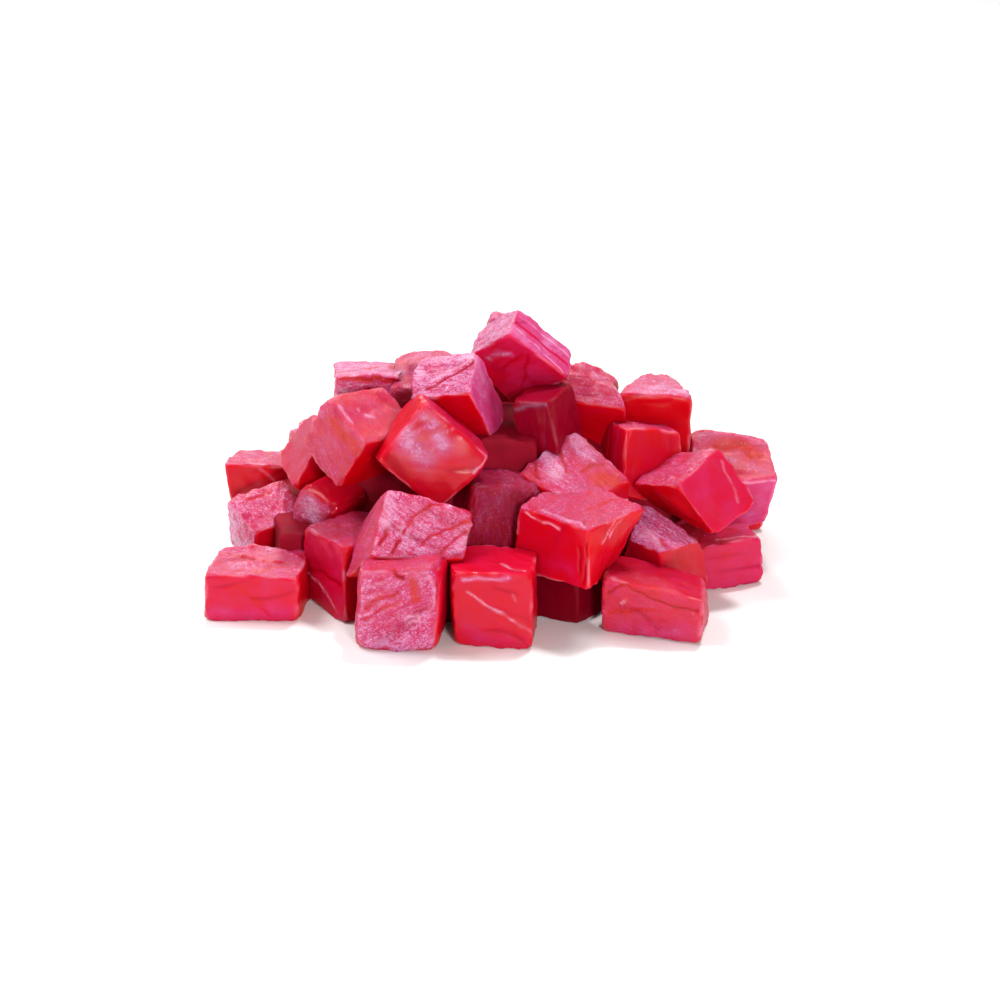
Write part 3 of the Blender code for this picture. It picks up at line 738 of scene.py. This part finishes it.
def worked(tree, operation, first, second=0.0, third=0.0, clamp=False):
    """The result of a sum on values or outputs."""
    made = tree.nodes.new("ShaderNodeMath")
    made.operation = operation
    made.use_clamp = clamp
    for socket, value in zip(made.inputs, (first, second, third)):
        if isinstance(value, bpy.types.NodeSocket):
            tree.links.new(value, socket)
        else:
            socket.default_value = value
    return made.outputs[0]


def ramp(tree, value, stops):
    """A colour by a value, from stops of value and colour."""
    made = node(tree, "ShaderNodeValToRGB", {"Fac": value})
    bar = made.color_ramp
    while len(bar.elements) < len(stops):
        bar.elements.new(0.5)
    for element, (spot, colour) in zip(bar.elements, stops):
        element.position = spot
        element.color = (*colour, 1)
    return made.outputs["Color"]


def set_values(shader, values):
    """Sets inputs of a shader to plain values."""
    for name, value in values.items():
        shader.inputs[name].default_value = value


def flesh_material():
    """Raw tuna: deep translucent red, pink and granular where the knife tore it, wet all over."""
    material = bpy.data.materials.new("raw tuna")
    material.use_nodes = True
    tree = material.node_tree
    shader = tree.nodes["Principled BSDF"]
    names = ("pink", "torn", "deep", "pale", "dark")
    value = {name: node(tree, "ShaderNodeAttribute", attribute_name=name).outputs["Fac"] for name in names}
    flesh = node(tree, "ShaderNodeAttribute", attribute_name="flesh").outputs["Vector"]
    along = node(tree, "ShaderNodeMapping", {"Vector": flesh, "Scale": (0.14, 1.0, 1.0)}).outputs[0]
    streaks = node(tree, "ShaderNodeTexNoise", {"Vector": along, "Scale": 1.8, "Detail": 5.0}).outputs["Fac"]
    clouds = node(tree, "ShaderNodeTexNoise", {"Vector": flesh, "Scale": 0.25, "Detail": 3.0}).outputs["Fac"]
    grains = node(tree, "ShaderNodeTexNoise",
                  {"Vector": flesh, "Scale": 2.6, "Detail": 5.0, "Roughness": 0.75}).outputs["Fac"]

    wrinkled = node(tree, "ShaderNodeMapping", {"Vector": flesh, "Scale": (0.4, 1.0, 1.0)}).outputs[0]
    folds = node(tree, "ShaderNodeTexNoise",
                 {"Vector": wrinkled, "Scale": 1.3, "Detail": 3.0, "Distortion": 0.6}).outputs["Fac"]

    torn = value["torn"]
    off_fold = worked(tree, "ABSOLUTE", worked(tree, "SUBTRACT", folds, 0.5))
    furrow = worked(tree, "MULTIPLY", worked(tree, "MULTIPLY_ADD", off_fold, -16.0, 1.0, clamp=True), torn)
    fibrous = worked(tree, "MULTIPLY", worked(tree, "MULTIPLY_ADD", streaks, 0.9, -0.45),
                     worked(tree, "MULTIPLY_ADD", torn, 0.35, 0.25))
    uneven = worked(tree, "ADD", fibrous, worked(tree, "MULTIPLY_ADD", clouds, 0.5, -0.25))
    speckle = worked(tree, "MULTIPLY", worked(tree, "MULTIPLY_ADD", grains, 1.5, -0.8), torn)
    pinkness = worked(tree, "ADD", worked(tree, "ADD", value["pink"], uneven), speckle)
    # painted shade: the furrows of the folds are less pink
    pinkness = worked(tree, "MULTIPLY_ADD", furrow, -0.3, pinkness, clamp=True)
    colour = ramp(tree, pinkness, FLESH_COLOURS)
    # seams, and painted shade in cracks and folds and between close cubes
    colour = mixed(tree, value["deep"], colour, SEAM_AND_PAINTED_SHADE_COLOUR)
    # pale tissue lines, and painted highlights on edges, glints and sheen
    colour = mixed(tree, value["pale"], colour, PALE_TISSUE_AND_HIGHLIGHT_COLOUR)
    # painted shade over whole cubes that lie in the shade of others
    colour = mixed(tree, value["dark"], colour, PAINTED_SHADE_COLOUR)

    # painted glints: pale specks that stand for light caught on the wet flesh, more of them where the flesh
    # is torn
    cells = node(tree, "ShaderNodeTexVoronoi", {"Vector": flesh, "Scale": 2.6})
    parts = node(tree, "ShaderNodeSeparateColor", {"Color": cells.outputs["Color"]})
    chosen = worked(tree, "GREATER_THAN", parts.outputs["Red"],
                    worked(tree, "MULTIPLY_ADD", torn, PAINTED_GLINT_RARITY - 1, 1.0))
    centred = worked(tree, "MULTIPLY_ADD", cells.outputs["Distance"], -5.0, 1.7, clamp=True)
    painted_glint = worked(tree, "MULTIPLY", worked(tree, "MULTIPLY", chosen, centred),
                   worked(tree, "SUBTRACT", 1.0, value["dark"]))
    colour = mixed(tree, worked(tree, "MULTIPLY", painted_glint, 0.6), colour, PAINTED_GLINT_COLOUR)
    tree.links.new(colour, shader.inputs["Base Color"])

    relief = worked(tree, "ADD", worked(tree, "MULTIPLY", streaks, 0.15),
                    worked(tree, "MULTIPLY", grains, worked(tree, "MULTIPLY_ADD", torn, 0.85, 0.15)))
    relief = worked(tree, "MULTIPLY_ADD", furrow, -0.5, relief)
    relief = worked(tree, "MULTIPLY_ADD", painted_glint, 0.4, relief)
    bump = node(tree, "ShaderNodeBump", {"Height": relief, "Strength": 0.7, "Distance": 0.0004})
    tree.links.new(bump.outputs[0], shader.inputs["Normal"])
    tree.links.new(bump.outputs[0], shader.inputs["Coat Normal"])
    open_air = worked(tree, "MULTIPLY_ADD", value["deep"], -0.8,
                      worked(tree, "MULTIPLY_ADD", value["dark"], -0.9, 1.0), clamp=True)
    wet = worked(tree, "MULTIPLY", worked(tree, "MULTIPLY_ADD", torn, 0.65, 0.35), open_air)
    tree.links.new(wet, shader.inputs["Coat Weight"])
    set_values(shader, WET_FLESH)
    return material


def painted_gap_shade_material():
    """Flesh that only shows in the gaps, darkened as painted shade, and dull where no light reaches it."""
    material = bpy.data.materials.new("flesh in painted shade")
    material.use_nodes = True
    tree = material.node_tree
    place = node(tree, "ShaderNodeTexCoord").outputs["Object"]
    clouds = node(tree, "ShaderNodeTexNoise", {"Vector": place, "Scale": 160.0, "Detail": 4.0}).outputs["Fac"]
    colour = mixed(tree, clouds, *PAINTED_GAP_SHADE_COLOURS)
    shader = tree.nodes["Principled BSDF"]
    tree.links.new(colour, shader.inputs["Base Color"])
    set_values(shader, DULL_FLESH)
    return material


def core_object(material):
    """The inside of the heap, where the gaps between the cubes end."""
    mesh = bmesh.new()
    bmesh.ops.create_uvsphere(mesh, u_segments=64, v_segments=40, radius=1)
    cut = bmesh.ops.bisect_plane(
        mesh, geom=mesh.verts[:] + mesh.edges[:] + mesh.faces[:], dist=1e-6,
        plane_co=(0, 0, 0.01), plane_no=(0, 0, -1), clear_outer=True)
    rim = [item for item in cut["geom_cut"] if isinstance(item, bmesh.types.BMEdge)]
    bmesh.ops.edgeloop_fill(mesh, edges=rim)
    for vert in mesh.verts:
        spot = np.array([vert.co[i] * CORE_SPREAD[i] + CORE_CENTRE[i] for i in range(3)])
        vert.co = Vector((spot + SHIFT) * MM)
        vert.co.z = max(vert.co.z - 0.01 * CORE_SPREAD[2] * MM, 0)
    bmesh.ops.recalc_face_normals(mesh, faces=mesh.faces)
    data = bpy.data.meshes.new("tuna_core")
    mesh.to_mesh(data)
    mesh.free()
    data.shade_smooth()
    obj = bpy.data.objects.new("tuna_core", data)
    bpy.context.scene.collection.objects.link(obj)
    # painted shade: the core has the dark flesh of the gaps, so the gaps end in darkness
    obj.data.materials.append(material)
    return obj


def area_light(name, place, size, power):
    """A round light that faces the heap."""
    data = bpy.data.lights.new(name, "AREA")
    data.shape = "DISK"
    data.size = size
    data.energy = power
    light = bpy.data.objects.new(name, data)
    light.location = place
    light.rotation_euler = (Vector(LIGHTS_AIM) - Vector(place)).to_track_quat("-Z", "Y").to_euler()
    bpy.context.scene.collection.objects.link(light)


def studio():
    """A plain pale floor, soft light from above and in front, and the camera at the photo's angle."""
    scene = bpy.context.scene
    scene.view_settings.view_transform = "Standard"
    world = bpy.data.worlds.new("studio")
    scene.world = world
    world.use_nodes = True
    background = world.node_tree.nodes["Background"]
    background.inputs["Color"].default_value = (1, 1, 1, 1)
    background.inputs["Strength"].default_value = SKY_STRENGTH

    bpy.ops.mesh.primitive_plane_add(size=FLOOR_WIDTH)
    floor = bpy.context.object
    floor.name = "floor"
    plain = bpy.data.materials.new("pale floor")
    plain.use_nodes = True
    surface = plain.node_tree.nodes["Principled BSDF"]
    surface.inputs["Base Color"].default_value = FLOOR_COLOUR
    surface.inputs["Roughness"].default_value = FLOOR_ROUGHNESS
    floor.data.materials.append(plain)

    for name, (place, size, power) in LIGHTS.items():
        area_light(name, place, size, power)

    elevation = math.radians(CAMERA_ELEVATION)
    aim = (np.array(CAMERA_AIM) + SHIFT) * MM
    back = np.array((0, -math.cos(elevation), math.sin(elevation)))
    data = bpy.data.cameras.new("camera")
    data.lens = CAMERA_LENS
    data.sensor_width = CAMERA_SENSOR
    camera = bpy.data.objects.new("camera", data)
    camera.location = Vector(aim + back * CAMERA_DISTANCE)
    camera.rotation_euler = (math.radians(90 - CAMERA_ELEVATION), 0, 0)
    scene.collection.objects.link(camera)
    scene.camera = camera


def pieces_of_the_heap():
    """The cubes by piece, each with its name, its cubes and its fineness."""
    for layer, cubes in LAYERS.items():
        fineness = FINENESS.get(layer, FINENESS["seen"])
        most = MOST_IN_A_PIECE if layer not in FINENESS else len(cubes)
        for start in range(0, len(cubes), most):
            yield f"tuna_cubes_{layer}_{start // most + 1}", cubes[start:start + most], fineness


def main():
    flesh = flesh_material()
    deep = painted_gap_shade_material()
    for name, cubes, fineness in pieces_of_the_heap():
        grid, quads = grid_of(fineness)
        cut = [cut_cube(cube, grid, quads) for cube in cubes]
        faces = np.concatenate([quads + len(grid) * place for place in range(len(cubes))])
        points = np.concatenate([spots for spots, _ in cut])
        looks = {look: np.concatenate([shown[look] for _, shown in cut]) for look in cut[0][1]}
        obj = mesh_object(name, points, faces, looks)
        # the cubes inside the heap get the flesh in painted shade
        obj.data.materials.append(deep if cubes[0] in LAYERS["inside"] else flesh)
        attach(obj, "root")
        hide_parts("tuna_cubes")
    core = core_object(deep)
    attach(core, "root")
    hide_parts("tuna_cubes")
    studio()


main()
